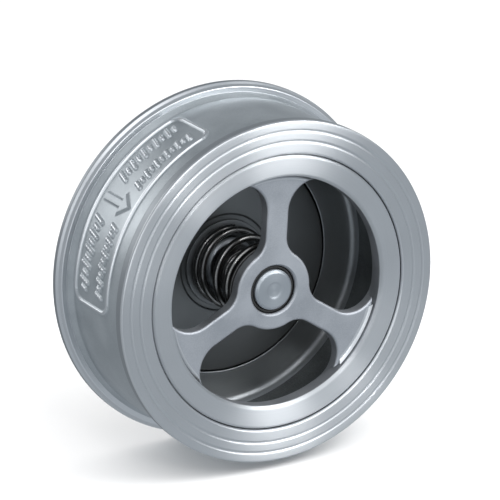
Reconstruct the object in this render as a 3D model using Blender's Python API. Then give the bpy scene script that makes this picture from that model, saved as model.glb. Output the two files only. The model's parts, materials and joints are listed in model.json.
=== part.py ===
"""Spring-loaded wafer check valve, DN 80 (3 inch), 50 mm between its gasket faces.

The bore runs along Y. The outlet face, with the guide spider, looks towards -Y, the inlet face
towards +Y, and +Z is up. The origin is on the bore axis, halfway between the two gasket faces.

Sizes are in millimetres here and become metres when a mesh is made. A place along the bore is
written as its depth, counted from the outlet face towards the inlet face.
"""
import math

import bmesh
import bpy
from mathutils import Matrix, Vector

MM = 0.001
GAP = 0.3                     # clearance kept between two pieces that touch
CHAMFER = 1.0                 # turned corners of the rims
SMALL_CHAMFER = 0.6

# Wafer body
LENGTH = 50.0                 # face to face
OUTLET_RIM_R = 67.5
OUTLET_RIM_BACK = 4.6
INLET_RIM_R = 71.0
BARREL_R = 65.7
BARREL_DEPTHS = (6.2, 40.6)   # the cast part of the barrel, between the two rims
FLARE = (66.9, 42.4)          # radius and depth where the barrel flares to the inlet rim
RIM_STEP_R = 68.2             # the narrow turned step in front of the inlet rim
RIM_STEP_DEPTHS = (43.0, 44.6)
RING_BORE_R = 54.3            # counterbore for the spider and its retaining ring
SHOULDER_DEPTHS = (9.8, 14.5)  # the spider's flange rests on the front of this lip
SHOULDER_R = 49.8
CHAMBER_R = 58.5
CHAMBER_START = 19.0
FLOOR_DEPTH = 43.0            # chamber floor, level with the closed disc
FLOOR_FILLET = 4.0
DISC_POCKET_R = 44.6
SEAT_DEPTH = 46.5             # tip of the seat lip
SEAT_LIP_R = (40.4, 42.6)
LIP_STEP = 0.5
INLET_BORE_R = 39.9
GROOVE_R = (59.5, 63.5)       # gasket grooves in both faces
GROOVE_HALF = 0.55
GROOVE_DEPTH = 0.6

# Raised frame and flow arrow cast on the barrel
FRAME_ANGLE = math.radians(145.5)  # middle of the frame, from +X towards +Z
FRAME_DEPTH = 27.5
FRAME_SIZE = (85.0, 27.0)     # round the barrel, along the bore
FRAME_CORNER = 4.0
FRAME_LINE = 1.6
RAISED = 0.8
ROOT = 0.8                    # how far raised work is rooted in the barrel
ARROW_SHAFT = 1.6             # half the width of the shaft
ARROW_HEAD = 4.6              # half the width of the head
ARROW_REACH = 9.5             # from the middle to either end
ARROW_NECK = 3.0              # from the middle to the back of the head

# Guide spider and retaining ring
BORE_R = 45.3                 # bore of the retaining ring, the outlet opening
BORE_EDGE = 2.0
BORE_CHAMFER = 0.9
RING_DISH = 0.2               # depth of the dished face at its rim
RING_BACK = 7.3
SPIDER_FRONT = 4.5
SPIDER_BACK = 9.5
CORE_R = 45.0
FLANGE_FRONT = 7.6
FLANGE_R = 54.0
ARM_HALF = 4.65
ARM_COUNT = 3
ARM_ANGLE = math.radians(86.5)  # the arm that points almost straight up
WINDOW_R = 46.2
WINDOW_CORNER = 11.5
HUB_R = 15.8
HUB_FILLET = 9.0
HUB_BORE_R = 9.5
HUB_CHAMFER = 0.7
SLEEVE_R = 11.6
SLEEVE_BACK = 15.5
DOWEL_R = 1.1
DOWEL_CHAMFER = 0.3
DOWEL_PITCH_R = 52.1
DOWEL_DEPTHS = (7.8, 12.8)

# Stem, bush and spring
STEM_R = 8.0
STEM_PROUD = 0.4              # how far the stem's end stands out of the spider
STEM_CHAMFER = 0.9
DIMPLE_R = (2.6, 3.6)         # turned dimple in the stem's end
DIMPLE_DEPTHS = (0.8, 0.5)
FOOT_R = 11.0
THREAD_R = 4.3                # blind hole for the stem screw
THREAD_START = 31.0
BUSH_R = (8.3, 9.2)
BUSH_SETBACK = 1.6
LIFT = 12.0
WIRE = 2.8
COIL_R = 14.7                 # mean radius of the spring
COIL_START = math.radians(80)  # where the wire starts, on the disc
SPRING_TURNS = 4.0
END_TURNS = 1.0               # wound close at each end
END_PITCH = 3.0
SPRING_DEPTHS = (11.1, 41.5)
HUB_WASHER_R = 16.2
DISC_WASHER_R = 17.4
WASHER_FIT = 0.4              # radial clearance of the washers' holes

# Disc assembly
DISC_R = 43.9
DISC_FACE = 42.7
SPRING_SEAT = 43.2            # bottom of the shallow recess for the spring's washer
SPRING_SEAT_R = 19.1
DISC_BACK = 46.2
SEAL_R = (37.0, 43.5)
SEAL_DEPTHS = (44.7, 46.2)
PLATE_R = 39.1
PLATE_DEPTHS = (46.5, 48.3)
CLAMP_SCREWS = 6
CLAMP_PITCH_R = 28.0
CLAMP_START = math.radians(30)
CLAMP_SCREW = {"shank_r": 2.0, "head_r": 3.7, "flush": 48.2, "tip": 43.8}
STEM_SCREW = {"shank_r": 4.0, "head_r": 7.4, "flush": 48.2, "tip": 33.0}
CLAMP_SOCKET_R = 1.4
STEM_SOCKET_R = 2.9
SOCKET_RATIO = 1.4            # depth of a socket for its radius
HEAD_RIM = 0.3                # straight rim of a screw's head
TIP_CHAMFER = 0.4

# Sides of the round pieces
BIG_STEPS = 56
RING_STEPS = 48
SMALL_STEPS = 32
SCREW_STEPS = 16
DOWEL_STEPS = 12
COIL_STEPS = 20
HEXAGON = 6
OVERCUT = 1.0                 # how far a cutter reaches past the face it cuts


def clear_scene():
    for thing in list(bpy.data.objects):
        bpy.data.objects.remove(thing, do_unlink=True)


def metal(name, colour, roughness, metallic=1.0):
    """One Principled material with the piece's own colour."""
    material = bpy.data.materials.new(name)
    material.use_nodes = True
    shader = material.node_tree.nodes["Principled BSDF"]
    shader.inputs["Base Color"].default_value = (*colour, 1.0)
    shader.inputs["Roughness"].default_value = roughness
    shader.inputs["Metallic"].default_value = metallic
    return material


def place(radius, angle, depth):
    """A point at a radius and an angle round the bore (from +X towards +Z), in metres."""
    return Vector((radius * math.cos(angle), depth - LENGTH / 2, radius * math.sin(angle))) * MM


def finish_mesh(bm, name, material):
    """Close a bmesh into an object, smooth where it is round and sharp at its edges."""
    bmesh.ops.remove_doubles(bm, verts=bm.verts, dist=1e-7)
    bmesh.ops.recalc_face_normals(bm, faces=bm.faces)
    mesh = bpy.data.meshes.new(name)
    bm.to_mesh(mesh)
    bm.free()
    mesh.shade_smooth()
    mesh.set_sharp_from_angle(angle=math.radians(32))
    if material:
        mesh.materials.append(material)
    thing = bpy.data.objects.new(name, mesh)
    bpy.context.collection.objects.link(thing)
    return thing


def turned(name, profile, steps, material, centre=(0.0, 0.0)):
    """Turn a profile of (radius, depth) points about an axis along Y.

    A ring's profile is a closed loop. One that starts and ends at radius 0 makes a solid piece.
    The centre gives the axis's own X and Z.
    """
    bm = bmesh.new()
    solid = profile[0][0] == 0
    points = [bm.verts.new(place(radius, 0.0, depth)) for radius, depth in profile]
    pairs = list(zip(points, points[1:]))
    if not solid:
        pairs.append((points[-1], points[0]))
    edges = [bm.edges.new(pair) for pair in pairs]
    bmesh.ops.spin(bm, geom=points + edges, axis=(0, 1, 0), cent=(0, 0, 0),
                   angle=2 * math.pi, steps=steps, use_merge=True)
    thing = finish_mesh(bm, name, material)
    thing.location = Vector((centre[0], 0.0, centre[1])) * MM
    return thing


def slab(name, outlines, front, back, material):
    """A flat plate between two depths, from its outer outline and the outlines of its holes."""
    bm = bmesh.new()
    edges = []
    for outline in outlines:
        ring = [bm.verts.new(Vector((x, front - LENGTH / 2, z)) * MM) for x, z in outline]
        edges += [bm.edges.new((a, b)) for a, b in zip(ring, ring[1:] + ring[:1])]
    bmesh.ops.triangle_fill(bm, edges=edges, use_beauty=True)
    made = bmesh.ops.extrude_face_region(bm, geom=list(bm.faces))
    moved = [item for item in made["geom"] if isinstance(item, bmesh.types.BMVert)]
    bmesh.ops.translate(bm, verts=moved, vec=(0, (back - front) * MM, 0))
    return finish_mesh(bm, name, material)


def apply_boolean(thing, other, operation):
    """Cut a piece with another mesh, or join the two, with the exact solver."""
    modifier = thing.modifiers.new(operation.lower(), "BOOLEAN")
    modifier.operation = operation
    modifier.solver = "EXACT"
    modifier.object = other
    other.hide_render = True
    other.display_type = "WIRE"


def circle(radius, steps):
    """Points of a round outline in the X, Z plane."""
    turns = [2 * math.pi * k / steps for k in range(steps)]
    return [(radius * math.cos(a), radius * math.sin(a)) for a in turns]


def arc(centre, radius, start, end, steps):
    """Points along an arc from one angle to another, both ends included."""
    angles = [start + (end - start) * k / steps for k in range(steps + 1)]
    return [centre + radius * Vector((math.cos(a), math.sin(a))) for a in angles]


def bearing(vector):
    return math.atan2(vector.y, vector.x)


def window_half():
    """Half a spider window, from its middle at the rim round to its middle at the hub.

    The middle of the window lies along +X and the arm it meets is 60 degrees round from there.
    """
    arm = math.pi / ARM_COUNT
    along = Vector((math.cos(arm), math.sin(arm)))
    inward = Vector((math.sin(arm), -math.cos(arm)))
    corner_off = ARM_HALF + WINDOW_CORNER
    corner = along * math.sqrt((WINDOW_R - WINDOW_CORNER) ** 2 - corner_off ** 2) + inward * corner_off
    hub_off = ARM_HALF + HUB_FILLET
    fillet = along * math.sqrt((HUB_R + HUB_FILLET) ** 2 - hub_off ** 2) + inward * hub_off
    side = bearing(-inward)
    points = arc(Vector((0, 0)), WINDOW_R, 0.0, bearing(corner), 5)
    points += arc(corner, WINDOW_CORNER, bearing(corner), side, 5)[1:]
    points += arc(fillet, HUB_FILLET, side, bearing(fillet) + math.pi, 6)
    points += arc(Vector((0, 0)), HUB_R, bearing(fillet), 0.0, 3)[1:]
    return points


def window_outline(middle):
    """One of the spider's windows, its middle turned to the angle given."""
    half = window_half()
    mirrored = [Vector((p.x, -p.y)) for p in reversed(half)]
    turn = Matrix.Rotation(middle, 2)
    return [tuple(turn @ p) for p in half[:-1] + mirrored[:-1]]


def arm_angles():
    return [ARM_ANGLE + k * 2 * math.pi / ARM_COUNT for k in range(ARM_COUNT)]


def face_grooves(depth, step):
    """Two V grooves in a gasket face, from the bore outwards. The step points into the metal."""
    points = []
    for radius in GROOVE_R:
        points += [(radius - GROOVE_HALF, depth), (radius, depth + step), (radius + GROOVE_HALF, depth)]
    return points


def body_profile():
    """The body's section, from the counterbore's mouth over the rims to the seat and back."""
    outlet = [(RING_BORE_R, SMALL_CHAMFER), (RING_BORE_R + SMALL_CHAMFER, 0.0)]
    outlet += face_grooves(0.0, GROOVE_DEPTH)
    outlet += [(OUTLET_RIM_R - CHAMFER, 0.0), (OUTLET_RIM_R, CHAMFER), (OUTLET_RIM_R, OUTLET_RIM_BACK)]
    step_front, step_back = RIM_STEP_DEPTHS
    barrel = [(BARREL_R, BARREL_DEPTHS[0]), (BARREL_R, BARREL_DEPTHS[1]), FLARE]
    step = [(RIM_STEP_R, step_front), (RIM_STEP_R, step_back),
            (INLET_RIM_R - SMALL_CHAMFER, step_back + 0.2), (INLET_RIM_R, step_back + 0.2 + SMALL_CHAMFER)]
    inlet = [(INLET_RIM_R, LENGTH - CHAMFER), (INLET_RIM_R - CHAMFER, LENGTH)]
    inlet += list(reversed(face_grooves(LENGTH, -GROOVE_DEPTH)))
    inlet += [(INLET_BORE_R + SMALL_CHAMFER, LENGTH), (INLET_BORE_R, LENGTH - SMALL_CHAMFER)]
    lip_in, lip_out = SEAT_LIP_R
    pocket = SEAT_DEPTH + LIP_STEP
    seat = [(INLET_BORE_R, pocket), (lip_in, SEAT_DEPTH), (lip_out, SEAT_DEPTH),
            (lip_out + LIP_STEP, pocket), (DISC_POCKET_R, pocket), (DISC_POCKET_R, FLOOR_DEPTH)]
    centre = Vector((CHAMBER_R - FLOOR_FILLET, FLOOR_DEPTH - FLOOR_FILLET))
    chamber = [tuple(p) for p in arc(centre, FLOOR_FILLET, math.pi / 2, 0.0, 3)]
    lip_front, lip_back = SHOULDER_DEPTHS
    chamber += [(CHAMBER_R, CHAMBER_START), (SHOULDER_R, lip_back), (SHOULDER_R, lip_front)]
    return outlet + barrel + step + inlet + seat + chamber + [(RING_BORE_R, lip_front)]


def dowel_holes(name, front, back):
    """The holes for the locating dowels, as one cutter of separate cylinders."""
    bm = bmesh.new()
    for angle in arm_angles():
        spot = place(DOWEL_PITCH_R, angle, (front + back) / 2)
        turn = Matrix.Rotation(math.pi / 2, 4, "X")
        bmesh.ops.create_cone(bm, cap_ends=True, segments=SCREW_STEPS, radius1=(DOWEL_R + GAP) * MM,
                              radius2=(DOWEL_R + GAP) * MM, depth=(back - front) * MM,
                              matrix=Matrix.Translation(spot) @ turn)
    return finish_mesh(bm, name, None)


def on_barrel(across, along, height):
    """A point over the barrel, from its place in the raised frame measured from the middle."""
    return place(BARREL_R + height, FRAME_ANGLE - across / BARREL_R, FRAME_DEPTH + along)


def frame_outline(inset):
    """The frame's rounded rectangle, its four corners turned as arcs."""
    half_across, half_along = FRAME_SIZE[0] / 2 - inset, FRAME_SIZE[1] / 2 - inset
    radius = FRAME_CORNER - inset
    points = []
    for quarter, (side, end) in enumerate([(1, 1), (-1, 1), (-1, -1), (1, -1)]):
        centre = Vector((side * (half_across - radius), end * (half_along - radius)))
        points += arc(centre, radius, quarter * math.pi / 2, (quarter + 1) * math.pi / 2, 3)
    return points


def along_outline(points, longest):
    """The same closed outline with its long straight sides split, so that it can bend."""
    split = []
    for a, b in zip(points, points[1:] + points[:1]):
        pieces = max(1, math.ceil((b - a).length / longest))
        split += [a.lerp(b, k / pieces) for k in range(pieces)]
    return split


def frame_band():
    """The raised frame as a closed band, rooted inside the barrel."""
    bm = bmesh.new()
    outer = along_outline(frame_outline(0.0), 8.0)
    inner = along_outline(frame_outline(FRAME_LINE), 8.0)
    loops = []
    for outline, height in ((outer, -ROOT), (outer, RAISED), (inner, RAISED), (inner, -ROOT)):
        loops.append([bm.verts.new(on_barrel(p.x, p.y, height)) for p in outline])
    count = min(len(loop) for loop in loops)
    for first, second in zip(loops, loops[1:] + loops[:1]):
        for k in range(count):
            after = (k + 1) % count
            bm.faces.new((first[k], first[after], second[after], second[k]))
    return finish_mesh(bm, "frame_join", None)


def flow_arrow():
    """The arrow that shows the way of flow, from the inlet towards the outlet."""
    side = [(ARROW_SHAFT, ARROW_REACH), (ARROW_SHAFT, -ARROW_NECK), (ARROW_HEAD, -ARROW_NECK)]
    outline = side + [(0.0, -ARROW_REACH)] + [(-across, along) for across, along in reversed(side)]
    bm = bmesh.new()
    low = [bm.verts.new(on_barrel(across, along, -ROOT)) for across, along in outline]
    high = [bm.verts.new(on_barrel(across, along, RAISED)) for across, along in outline]
    bm.faces.new(low)
    bm.faces.new(list(reversed(high)))
    for k, (a, b) in enumerate(zip(low, high)):
        after = (k + 1) % len(low)
        bm.faces.new((a, low[after], high[after], b))
    return finish_mesh(bm, "arrow_join", None)


def make_body(steel):
    body = turned("body", body_profile(), BIG_STEPS, steel)
    apply_boolean(body, frame_band(), "UNION")
    apply_boolean(body, flow_arrow(), "UNION")
    holes = dowel_holes("body_dowel_cut", SHOULDER_DEPTHS[0] - OVERCUT, DOWEL_DEPTHS[1] + GAP)
    apply_boolean(body, holes, "DIFFERENCE")


def make_retaining_ring(steel):
    """The ring pressed into the outlet, dished towards its bore."""
    profile = [(BORE_R, BORE_EDGE), (BORE_R + BORE_CHAMFER, BORE_EDGE - BORE_CHAMFER),
               (FLANGE_R - SMALL_CHAMFER, RING_DISH), (FLANGE_R, RING_DISH + SMALL_CHAMFER),
               (FLANGE_R, RING_BACK), (BORE_R, RING_BACK)]
    turned("retaining_ring", profile, BIG_STEPS, steel)


def make_spider(cast):
    """Three arms and a hub in one plate, stepped down at the rim, with a guide sleeve behind."""
    windows = [window_outline(angle + math.pi / ARM_COUNT) for angle in arm_angles()]
    outlines = [circle(FLANGE_R, BIG_STEPS)] + windows
    spider = slab("guide_spider", outlines, SPIDER_FRONT, SPIDER_BACK, cast)
    inside = SPIDER_BACK - OVERCUT
    sleeve = turned("sleeve_join", [(0, inside), (SLEEVE_R, inside), (SLEEVE_R, SLEEVE_BACK),
                                    (0, SLEEVE_BACK)], SMALL_STEPS, None)
    apply_boolean(spider, sleeve, "UNION")
    ahead = SPIDER_FRONT - OVERCUT
    outside = FLANGE_R + OVERCUT
    step = turned("rim_step_cut", [(CORE_R, ahead), (outside, ahead), (outside, FLANGE_FRONT),
                                   (CORE_R, FLANGE_FRONT)], BIG_STEPS, None)
    apply_boolean(spider, step, "DIFFERENCE")
    mouth = HUB_BORE_R + HUB_CHAMFER
    behind = SLEEVE_BACK + OVERCUT
    hole = turned("hub_bore_cut", [(0, ahead), (mouth + OVERCUT, ahead), (mouth, SPIDER_FRONT),
                                   (HUB_BORE_R, SPIDER_FRONT + HUB_CHAMFER), (HUB_BORE_R, behind),
                                   (0, behind)], SMALL_STEPS, None)
    apply_boolean(spider, hole, "DIFFERENCE")
    holes = dowel_holes("spider_dowel_cut", SPIDER_FRONT, SPIDER_BACK + OVERCUT)
    apply_boolean(spider, holes, "DIFFERENCE")


def make_dowels(steel):
    """The pins that stop the spider turning in the body."""
    first, last = DOWEL_DEPTHS
    for number, angle in enumerate(arm_angles(), 1):
        centre = (DOWEL_PITCH_R * math.cos(angle), DOWEL_PITCH_R * math.sin(angle))
        profile = [(0, first), (DOWEL_R - DOWEL_CHAMFER, first), (DOWEL_R, first + DOWEL_CHAMFER),
                   (DOWEL_R, last - DOWEL_CHAMFER), (DOWEL_R - DOWEL_CHAMFER, last), (0, last)]
        turned(f"spider_dowel_{number}", profile, DOWEL_STEPS, steel, centre)


def make_bush(plastic):
    """The plain bearing in the hub, set back behind the hub's mouth."""
    inner, outer = BUSH_R
    first, last = SPIDER_FRONT + BUSH_SETBACK, SLEEVE_BACK
    profile = [(inner, first), (outer, first), (outer, last), (inner, last)]
    turned("guide_bush", profile, SMALL_STEPS, plastic)


def make_stem(steel):
    """The guided stem, its wide foot on the disc and a blind thread for the stem screw."""
    foot_end = SPRING_SEAT - GAP
    foot_start = SLEEVE_BACK + LIFT + GAP
    front = SPIDER_FRONT - STEM_PROUD
    deep, shallow = DIMPLE_DEPTHS
    profile = [(0, front + deep), (DIMPLE_R[0], front + shallow), (DIMPLE_R[1], front),
               (STEM_R - STEM_CHAMFER, front), (STEM_R, front + STEM_CHAMFER),
               (STEM_R, foot_start), (FOOT_R, foot_start), (FOOT_R, foot_end),
               (THREAD_R, foot_end), (THREAD_R, THREAD_START), (0, THREAD_START)]
    turned("stem", profile, SMALL_STEPS, steel)


def coil_points():
    """The centre line of the spring, from the disc to the hub, with its end coils wound close."""
    hub_end, disc_end = SPRING_DEPTHS[0] + WIRE / 2, SPRING_DEPTHS[1] - WIRE / 2
    middle_turns = SPRING_TURNS - 2 * END_TURNS
    middle_pitch = (disc_end - hub_end - 2 * END_TURNS * END_PITCH) / middle_turns
    points = []
    for k in range(round(SPRING_TURNS * COIL_STEPS) + 1):
        turn = k / COIL_STEPS
        from_start = min(turn, END_TURNS)
        from_end = max(turn - END_TURNS - middle_turns, 0.0)
        middle = turn - from_start - from_end
        depth = disc_end - (from_start + from_end) * END_PITCH - middle * middle_pitch
        points.append(place(COIL_R, COIL_START + 2 * math.pi * turn, depth))
    return points


def make_spring(wire_steel):
    """The closing spring, a round wire wound into a compression coil."""
    line = bpy.data.curves.new("spring", "CURVE")
    line.dimensions = "3D"
    line.bevel_depth = WIRE / 2 * MM
    line.bevel_resolution = 2
    line.use_fill_caps = True
    points = coil_points()
    spline = line.splines.new("POLY")
    spline.points.add(len(points) - 1)
    for point, spot in zip(spline.points, points):
        point.co = (*spot, 1.0)
    line.materials.append(wire_steel)
    thing = bpy.data.objects.new("spring", line)
    bpy.context.collection.objects.link(thing)


def make_washers(steel):
    """The two flat washers that the ends of the spring bear on."""
    ends = {"spring_washer_hub": (SLEEVE_R, HUB_WASHER_R, SPIDER_BACK + GAP, SPRING_DEPTHS[0] - GAP),
            "spring_washer_disc": (FOOT_R, DISC_WASHER_R, SPRING_DEPTHS[1] + GAP, SPRING_SEAT - GAP)}
    for name, (post, outer, first, last) in ends.items():
        inner = post + WASHER_FIT
        turned(name, [(inner, first), (outer, first), (outer, last), (inner, last)], SMALL_STEPS, steel)


def clamp_spots():
    turns = [CLAMP_START + k * 2 * math.pi / CLAMP_SCREWS for k in range(CLAMP_SCREWS)]
    return [(CLAMP_PITCH_R * math.cos(a), CLAMP_PITCH_R * math.sin(a)) for a in turns]


def screw_space(shank_r, head_r, flush, tip):
    """Section of the space round a countersunk screw, wider than the screw by the usual gap."""
    cone = head_r - shank_r
    return [(0, tip - GAP), (shank_r + GAP, tip - GAP), (shank_r + GAP, flush - cone),
            (head_r + GAP, flush), (head_r + GAP, flush + OVERCUT), (0, flush + OVERCUT)]


def cut_screw_holes(thing, prefix):
    """Cut the clamp screws' holes and the stem screw's hole through one piece."""
    for number, centre in enumerate(clamp_spots(), 1):
        cutter = turned(f"{prefix}_cut_{number}", screw_space(**CLAMP_SCREW), SCREW_STEPS, None, centre)
        apply_boolean(thing, cutter, "DIFFERENCE")
    cutter = turned(f"{prefix}_cut_middle", screw_space(**STEM_SCREW), SMALL_STEPS, None)
    apply_boolean(thing, cutter, "DIFFERENCE")


def make_disc(steel):
    """The closing disc, with a shallow recess for the spring's washer and a rebate for the seal."""
    rebate_r = SEAL_R[0] - GAP
    rebate = SEAL_DEPTHS[0] - GAP
    profile = [(0, SPRING_SEAT), (SPRING_SEAT_R, SPRING_SEAT),
               (SPRING_SEAT_R + SPRING_SEAT - DISC_FACE, DISC_FACE),
               (DISC_R - SMALL_CHAMFER, DISC_FACE), (DISC_R, DISC_FACE + SMALL_CHAMFER), (DISC_R, rebate),
               (rebate_r, rebate), (rebate_r, DISC_BACK), (0, DISC_BACK)]
    cut_screw_holes(turned("disc", profile, RING_STEPS, steel), "disc")


def make_seal(plastic):
    """The flat seal ring that meets the seat."""
    inner, outer = SEAL_R
    first, last = SEAL_DEPTHS
    turned("disc_seal", [(inner, first), (outer, first), (outer, last), (inner, last)],
           RING_STEPS, plastic)


def make_clamp_plate(steel):
    """The plate that holds the seal's inner edge against the disc."""
    first, last = PLATE_DEPTHS
    profile = [(0, first), (PLATE_R, first), (PLATE_R, last - SMALL_CHAMFER),
               (PLATE_R - SMALL_CHAMFER, last), (0, last)]
    cut_screw_holes(turned("seal_clamp_plate", profile, RING_STEPS, steel), "plate")


def screw(name, shape, socket_r, steps, steel, centre=(0.0, 0.0)):
    """A countersunk screw with a hexagon socket."""
    flush, tip = shape["flush"], shape["tip"]
    shank_r, head_r = shape["shank_r"], shape["head_r"]
    neck = flush - (head_r - shank_r) - HEAD_RIM
    profile = [(0, tip), (shank_r - TIP_CHAMFER, tip), (shank_r, tip + TIP_CHAMFER), (shank_r, neck),
               (head_r, flush - HEAD_RIM), (head_r, flush), (0, flush)]
    thing = turned(name, profile, steps, steel, centre)
    depth = min(socket_r * SOCKET_RATIO, flush - neck)
    above = flush + OVERCUT
    socket = turned(f"{name}_socket_cut", [(0, flush - depth), (socket_r, flush - depth),
                                           (socket_r, above), (0, above)], HEXAGON, None, centre)
    apply_boolean(thing, socket, "DIFFERENCE")


def make_screws(steel):
    for number, centre in enumerate(clamp_spots(), 1):
        screw(f"clamp_screw_{number}", CLAMP_SCREW, CLAMP_SOCKET_R, SCREW_STEPS, steel, centre)
    screw("stem_screw", STEM_SCREW, STEM_SOCKET_R, SMALL_STEPS, steel)


def main():
    clear_scene()
    turned_steel = metal("turned_stainless", (0.60, 0.62, 0.64), 0.28)
    cast_steel = metal("blasted_stainless", (0.47, 0.49, 0.51), 0.50)
    dark_steel = metal("disc_stainless", (0.33, 0.34, 0.35), 0.38)
    spring_steel = metal("spring_steel", (0.16, 0.15, 0.14), 0.28)
    screw_steel = metal("screw_stainless", (0.55, 0.56, 0.57), 0.32)
    bush_black = metal("bush_polymer", (0.05, 0.05, 0.05), 0.5, 0.0)
    seal_white = metal("seal_ptfe", (0.80, 0.80, 0.77), 0.45, 0.0)
    make_body(turned_steel)
    make_retaining_ring(turned_steel.copy())
    make_spider(cast_steel)
    make_dowels(screw_steel)
    make_bush(bush_black)
    make_stem(turned_steel.copy())
    make_spring(spring_steel)
    make_washers(screw_steel.copy())
    make_disc(dark_steel)
    make_seal(seal_white)
    make_clamp_plate(dark_steel.copy())
    make_screws(screw_steel.copy())


main()
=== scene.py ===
"""Looks of the DN 80 wafer check valve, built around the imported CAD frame.

The bore runs along Y with the outlet face towards -Y. As in the CAD, a place along the bore is a
depth in millimetres counted from the outlet face, and a radius is in millimetres too.
"""
import json
import math

import bmesh
import bpy
from mathutils import Matrix, Vector


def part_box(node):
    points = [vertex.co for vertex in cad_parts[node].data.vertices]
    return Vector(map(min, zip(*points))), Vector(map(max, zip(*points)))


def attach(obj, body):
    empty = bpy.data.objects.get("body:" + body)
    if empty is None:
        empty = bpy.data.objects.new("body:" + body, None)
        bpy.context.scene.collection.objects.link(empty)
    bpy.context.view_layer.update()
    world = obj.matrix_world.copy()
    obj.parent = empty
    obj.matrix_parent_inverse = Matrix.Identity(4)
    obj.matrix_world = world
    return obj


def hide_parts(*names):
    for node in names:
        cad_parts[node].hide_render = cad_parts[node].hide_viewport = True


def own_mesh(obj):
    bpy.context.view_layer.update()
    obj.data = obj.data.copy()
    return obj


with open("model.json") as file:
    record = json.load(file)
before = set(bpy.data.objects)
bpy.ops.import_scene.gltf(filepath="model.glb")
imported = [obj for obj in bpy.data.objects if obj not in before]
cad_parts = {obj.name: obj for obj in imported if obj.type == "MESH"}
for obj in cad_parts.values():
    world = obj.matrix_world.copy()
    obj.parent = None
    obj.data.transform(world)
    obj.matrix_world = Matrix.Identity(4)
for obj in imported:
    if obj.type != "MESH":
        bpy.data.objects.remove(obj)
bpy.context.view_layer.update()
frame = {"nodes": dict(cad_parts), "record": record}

MM = 0.001
FACE_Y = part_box("body")[0][1]                          # the outlet gasket face
LENGTH = (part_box("body")[1][1] - FACE_Y) / MM
RIM_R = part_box("body")[1][0] / MM - 0.01               # inlet rim, a hair inside the CAD's
RING_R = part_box("retaining_ring")[1][0] / MM
CLAMP_NODES = sorted(n for n in frame["nodes"] if n.startswith("clamp_screw"))
DOWEL_NODES = sorted(n for n in frame["nodes"] if n.startswith("spider_dowel"))

CREASE = 35                                            # degrees, sharper edges shade as edges

# The body
OUTLET_RIM_R = 67.5
OUTLET_RIM_BACK = 5.0
BARREL_R = 65.7
BARREL_ENDS = (6.4, 42.4)
FINE_DEPTHS = (7.0, 42.0)                              # fine rows here, for the raised work
GROOVE_R = (59.4, 63.5)                                # gasket grooves in both faces
GROOVE_HALF = 0.8
GROOVE_DEPTH = 0.62
LIP_R, LIP_DEPTH = 67.4, 44.9                          # cast lip where the barrel widens
STEP_DEPTH = 45.3                                      # turned step in front of the inlet rim
STEP_R = (69.4, 70.0)
INLET_RIM_FRONT = 47.8
RING_SEAT_R = RING_R + 0.3                             # the ring's clearance in the body
SHOULDER_R = 49.8                                      # the spider rests on this shoulder
SHOULDER_DEPTHS = (9.8, 14.5)
CHAMBER_R = 58.5
CHAMBER_START = 19.0
FLOOR_DEPTH = 43.0
FLOOR_FILLET = 3.8
POCKET_R = 44.6                                        # pocket round the disc
POCKET_DEPTH = 47.0
INLET_BORE_R = 39.9
SEAT_DEPTH = 46.5                                      # tip of the seat lip
SEAT_LIP_R = (40.4, 42.6)
LIP_SLOPE = 0.5

# The body's finishes, in the order of its materials; the chamber and the rim sides carry painted
# shade, the floor and the raised tops painted highlights
MACHINED, SATIN, BLASTED, RAW_AND_SHADE, BORED_HIGHLIGHT, SHADED_SIDES = range(6)
RAW_DEPTHS = (10.0, 46.4)                              # the chamber's depths
BARREL_DEPTHS = (6.5, 45.2)                            # the barrel's, with its two ends
OUTLET_SIDE_START = 1.2
HIGHLIT_TOPS_END = 41.0                                      # the brighter tops, a painted highlight, stop before this depth
ARROW_ROOM = (6.0, 10.5)                               # the arrow's half sizes, with some room

# The raised frame, its arrow and its marks; sizes are round the barrel, then along the bore
FRAME_ANGLE = math.radians(145.5)
FRAME_DEPTH = 27.5
FRAME_SIZE = (85.0, 27.0)
FRAME_CORNER = 5.5
FRAME_LINE = 1.5
RAISED = 0.8
RAISED_SLOPE = 0.9                                     # width of the soft edge of raised work
RAISED_MARGIN = 1.0                                    # raised work ends this far past the frame
ARROW_REACH, ARROW_NECK = 9.5, 3.0                     # from its middle to its tip and its head
ARROW_HEAD, ARROW_SHAFT = 4.6, 1.5                     # half widths
ARROW_OVERLAP = 2.0                                    # the shaft runs on inside the head
SOFT_CORNER = 0.4                                      # of the shaft and the bars
MARK_ROWS = ((6.0, 3.0, 3.5), (-5.8, 2.7, 2.7))        # place along the bore, pitch, half length
MARKS_FROM, MARKS_TO = 9.0, 38.0                       # round the barrel, from the frame's middle
MARK_SLANT = 0.25
MARK_HALF = 0.75
SHORT_MARK = 0.6                                       # a short bar's share of a long one
FAR = 9.0                                              # a distance beyond every mark

# The outlet ring
BORE_R = 45.3                                          # the outlet opening
RING_DEPTHS = [(corner[1] - FACE_Y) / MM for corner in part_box("retaining_ring")]
RING_LIP, RING_LIP_DEPTH = 1.1, 1.0                    # rounded inner edge of its dished face
RING_BORE_START = 2.2

# The guide spider
ARM_COUNT = 3
ARM_ANGLE = math.radians(86.5)                         # the arm nearest to vertical
ARM_HALF = 4.65
WINDOW_R, WINDOW_CORNER = 46.2, 11.5
HUB_R, HUB_FILLET = 15.8, 9.0
CORE_R = 45.0                                          # inside the ring
HUB_BORE_R = 9.5
SLEEVE_R = 11.6
SPIDER_FRONT, SPIDER_BACK = 4.5, 9.5
FLANGE_FRONT = 7.6                                     # outside the core, behind the ring
FRONT_EDGE, BACK_EDGE = 1.1, 0.6                       # edge radii of the windows
RAMP_R = (43.0, 43.4, 44.2)                            # the slope at each arm's outer end
RAMP_ROOT = 0.3                                        # how far the slope is let into the arm
RAMP_RISE = 1.3

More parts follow.
